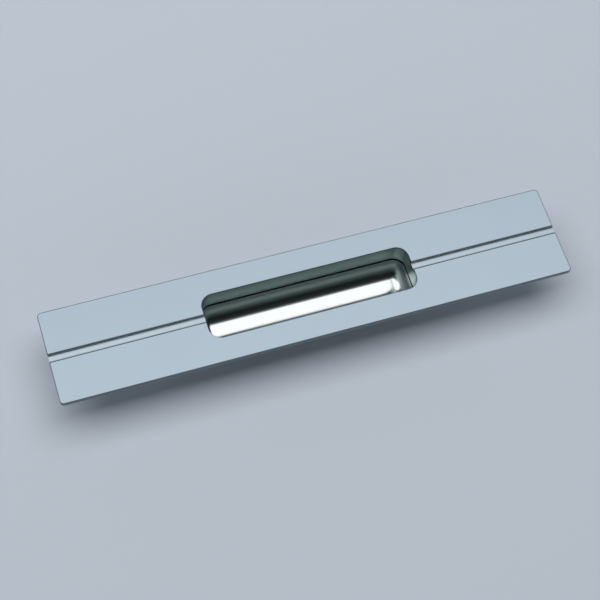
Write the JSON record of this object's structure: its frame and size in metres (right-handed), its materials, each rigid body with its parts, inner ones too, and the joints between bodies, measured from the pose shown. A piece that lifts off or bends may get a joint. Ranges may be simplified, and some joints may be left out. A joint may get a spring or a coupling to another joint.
{
  "type": "recessed pull handle",
  "caption": "Flush door pull: a long satin face plate with a lengthwise groove and a rounded finger opening, over a polished, dished recess pan screwed on from behind.",
  "frame": {"origin": "centre of the pan's underside, on the surface that the handle lies on face up", "axes": "+X along the handle, +Y across the plate, +Z out of the face"},
  "size_m": [0.2, 0.0372, 0.0194],
  "materials": {
    "satin_chrome_casting": "zinc alloy casting, satin chrome face with a bright plated collar",
    "polished_pan": "zinc alloy casting, polished and chrome plated inside",
    "zinc_plated_screw": "bright zinc plate"
  },
  "bodies": {
    "root": {"front_plate": "satin_chrome_casting", "recess_pan": "polished_pan", "pan_screw_1": "zinc_plated_screw", "pan_screw_2": "zinc_plated_screw", "pan_screw_3": "zinc_plated_screw", "pan_screw_4": "zinc_plated_screw"}
  },
  "joints": []
}
